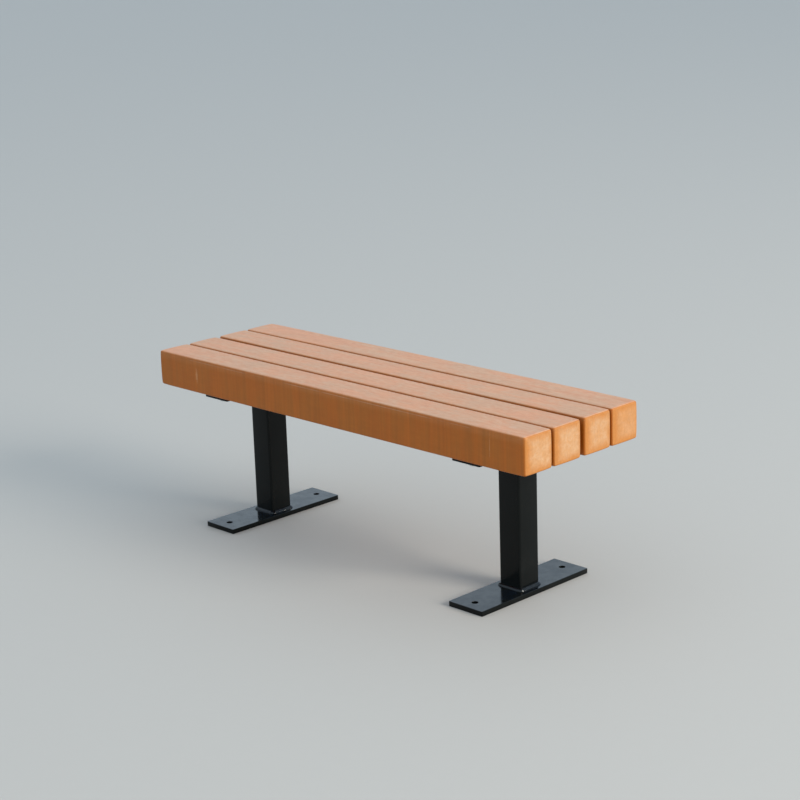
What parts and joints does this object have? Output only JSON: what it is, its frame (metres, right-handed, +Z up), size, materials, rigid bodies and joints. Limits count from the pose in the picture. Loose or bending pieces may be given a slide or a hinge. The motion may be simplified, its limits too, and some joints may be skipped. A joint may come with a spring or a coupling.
{
  "type": "backless bench",
  "caption": "Backless outdoor bench: square recycled-plastic planks laid lengthwise on black steel posts with bolt-down base plates.",
  "frame": {"origin": "middle of the bench on the ground, the middle of the bottom of its box", "axes": "+X along the seat, +Y from the front plank to the back one, +Z up"},
  "size_m": [1.219, 0.3746, 0.435],
  "materials": {
    "plank_plastic": "moulded recycled plastic, satin, fine grain",
    "frame_paint": "glossy black powder coat",
    "zinc_steel": "zinc plated"
  },
  "bodies": {
    "root": {"plank_front": "plank_plastic", "plank_mid_front": "plank_plastic", "plank_mid_back": "plank_plastic", "plank_back": "plank_plastic", "seat_bracket_left": "frame_paint", "seat_bracket_right": "frame_paint", "post_left": "frame_paint", "post_right": "frame_paint", "top_weld_left": "frame_paint", "top_weld_right": "frame_paint", "base_weld_left": "frame_paint", "base_weld_right": "frame_paint", "base_plate_left": "frame_paint", "base_plate_right": "frame_paint", "lag_screws_left": "zinc_steel", "lag_screws_right": "zinc_steel", "flat_washers_left": "zinc_steel", "flat_washers_right": "zinc_steel"}
  },
  "joints": []
}
